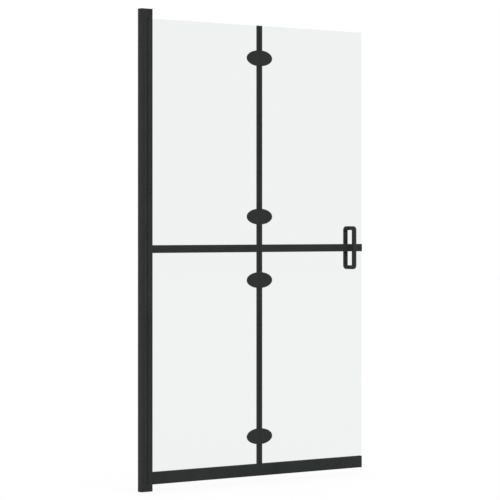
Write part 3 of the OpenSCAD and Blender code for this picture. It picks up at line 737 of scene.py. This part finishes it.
class ShowerStage(bpy.types.PropertyGroup):
    """The floor, the lights and the camera."""

    floor_size: bpy.props.FloatProperty(
        name="Floor Size", description="Length of the floor's sides",
        default=60.0, min=4.0, max=200.0, unit="LENGTH")
    sky: bpy.props.FloatProperty(
        name="Sky", description="Strength of the even light from all round",
        default=0.75, min=0.0, max=2.0)
    key_strength: bpy.props.FloatProperty(
        name="Key Strength", description="Strength of the broad light from the front left",
        default=0.5, min=0.0, max=5.0)
    fill_strength: bpy.props.FloatProperty(
        name="Fill Strength", description="Strength of the broad lights from the right and the back",
        default=0.25, min=0.0, max=5.0)
    light_spread: bpy.props.FloatProperty(
        name="Light Spread", description="How wide the broad lights are", subtype="ANGLE",
        default=math.radians(70), min=0.0, max=math.pi)
    floor_glow: bpy.props.FloatProperty(
        name="Floor Glow", description="How white the floor is seen, beside what light falls on it",
        default=1.044, min=0.0, max=2.0)
    floor_share: bpy.props.FloatProperty(
        name="Floor Share", description="Share of the white in what is seen of the floor",
        default=0.82, min=0.0, max=1.0)
    camera_place: bpy.props.FloatVectorProperty(
        name="Camera Place", description="Where the camera stands", subtype="TRANSLATION",
        default=(-4.28124, -6.95688, 1.04460))
    camera_heading: bpy.props.FloatProperty(
        name="Camera Heading", description="How far the camera turns from +Y towards +X", subtype="ANGLE",
        default=math.radians(34.6515))
    camera_lens: bpy.props.FloatProperty(
        name="Camera Lens", description="Focal length on the camera's sensor",
        default=149.497, min=10.0, max=500.0, unit="CAMERA")
    camera_shift: bpy.props.FloatProperty(
        name="Camera Shift", description="Upward shift of the view, as a share of its width",
        default=-0.04771, min=-0.5, max=0.5)


# Operators

class SHOWER_OT_dress_frame(bpy.types.Operator):
    """Coats the wall profile, rails, bars and fold strips"""

    bl_idname = "shower.dress_frame"
    bl_label = "Dress Frame"

    def execute(self, context):
        finishes = context.scene.shower_finishes
        coat = powder_coat("black_powder_coat", finishes.coat, finishes.coat_roughness)
        wear(coat, FRAME_NODES)
        return {"FINISHED"}


class SHOWER_OT_dress_glass(bpy.types.Operator):
    """Gives the four panes their satin glass and ground edges"""

    bl_idname = "shower.dress_glass"
    bl_label = "Dress Glass"

    def execute(self, context):
        finishes = context.scene.shower_finishes
        glass = screen_glass(
            "satin_glass", finishes.glass, finishes.glass_rim, finishes.satin, finishes.veil)
        wear(glass, GLASS_NODES)
        return {"FINISHED"}


class SHOWER_OT_dress_trims(bpy.types.Operator):
    """Gives the plastic, rubber and steel pieces their finishes"""

    bl_idname = "shower.dress_trims"
    bl_label = "Dress Trims"

    def execute(self, context):
        finishes = context.scene.shower_finishes
        nylon = moulded_plastic("matt_black_nylon", finishes.plastic, finishes.plastic_roughness)
        rubber = soft_rubber("seal_rubber", finishes.rubber, finishes.rubber_roughness)
        steel = turned_steel("turned_steel", finishes.steel, finishes.steel_roughness)
        wear(nylon, PLASTIC_NODES)
        wear(rubber, RUBBER_NODES)
        wear(steel, STEEL_NODES)
        soften_edges(EASED_NODES, context.scene.shower_forms.cap_edge)
        return {"FINISHED"}


class SHOWER_OT_build_hinges(bpy.types.Operator):
    """Builds smooth oval plates and knuckles for the four fold hinges"""

    bl_idname = "shower.build_hinges"
    bl_label = "Build Hinges"

    def execute(self, context):
        finishes = context.scene.shower_finishes
        forms = context.scene.shower_forms
        coat = powder_coat("black_hinge_coat", finishes.coat, finishes.hinge_roughness)
        meshes = {}
        for leaf, side in LEAVES:
            meshes[leaf, "front"] = front_plate(leaf, side, forms)
            meshes[leaf, "back"] = back_plate(leaf, side, forms)
        for number in HINGES:
            for (leaf, face), mesh in meshes.items():
                node = f"hinge_{number}_{leaf}_{face}"
                keep(node + "_plate", mesh, coat, leaf + "_leaf", node, hinge_centre(number))
        return {"FINISHED"}


class SHOWER_OT_build_handle(bpy.types.Operator):
    """Builds the two smooth D-shaped grips of the handle"""

    bl_idname = "shower.build_handle"
    bl_label = "Build Handle"

    def execute(self, context):
        finishes = context.scene.shower_finishes
        forms = context.scene.shower_forms
        # The handle's coat is painted lighter than the frame's coat, as painted light that makes up for the
        # shade on the grips by the glass
        coat = powder_coat("black_handle_coat", finishes.handle_coat_painted_lighter, finishes.handle_roughness)
        for face, side in (("front", -1), ("back", 1)):
            node = "handle_" + face
            keep(node + "_grip", grip_mesh(node, side, forms), coat, "free_leaf", node)
        return {"FINISHED"}


class SHOWER_OT_set_stage(bpy.types.Operator):
    """Lays the floor, hangs the lamps and stands the camera at the photograph's angle"""

    bl_idname = "shower.set_stage"
    bl_label = "Set Stage"

    def execute(self, context):
        stage = context.scene.shower_stage
        lay_floor(stage)
        light_room(context.scene, stage)
        stand_camera(context.scene, stage)
        context.scene.view_settings.view_transform = "Standard"
        return {"FINISHED"}


# Panel and registration

OPERATORS = (
    SHOWER_OT_dress_frame, SHOWER_OT_dress_glass, SHOWER_OT_dress_trims, SHOWER_OT_build_hinges,
    SHOWER_OT_build_handle, SHOWER_OT_set_stage,
)


class SHOWER_PT_panel(bpy.types.Panel):
    """Lists the steps that dress the shower screen"""

    bl_idname = "SHOWER_PT_panel"
    bl_label = "Folding Shower Screen"
    bl_space_type = "VIEW_3D"
    bl_region_type = "UI"
    bl_category = "Shower Screen"

    def draw(self, context):
        for operator in OPERATORS:
            self.layout.operator(operator.bl_idname)
        for group in (context.scene.shower_finishes, context.scene.shower_forms, context.scene.shower_stage):
            box = self.layout.box()
            for name in group.__annotations__:
                box.prop(group, name)


CLASSES = (ShowerFinishes, ShowerForms, ShowerStage, *OPERATORS, SHOWER_PT_panel)


def register():
    for item in CLASSES:
        bpy.utils.register_class(item)
    bpy.types.Scene.shower_finishes = bpy.props.PointerProperty(type=ShowerFinishes)
    bpy.types.Scene.shower_forms = bpy.props.PointerProperty(type=ShowerForms)
    bpy.types.Scene.shower_stage = bpy.props.PointerProperty(type=ShowerStage)


def unregister():
    del bpy.types.Scene.shower_stage
    del bpy.types.Scene.shower_forms
    del bpy.types.Scene.shower_finishes
    for item in reversed(CLASSES):
        bpy.utils.unregister_class(item)


def main():
    """Dresses the screen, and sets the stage."""
    register()
    bpy.ops.shower.dress_frame()
    bpy.ops.shower.dress_glass()
    bpy.ops.shower.dress_trims()
    bpy.ops.shower.build_hinges()
    bpy.ops.shower.build_handle()
    bpy.ops.shower.set_stage()


if __name__ == "__main__":
    main()
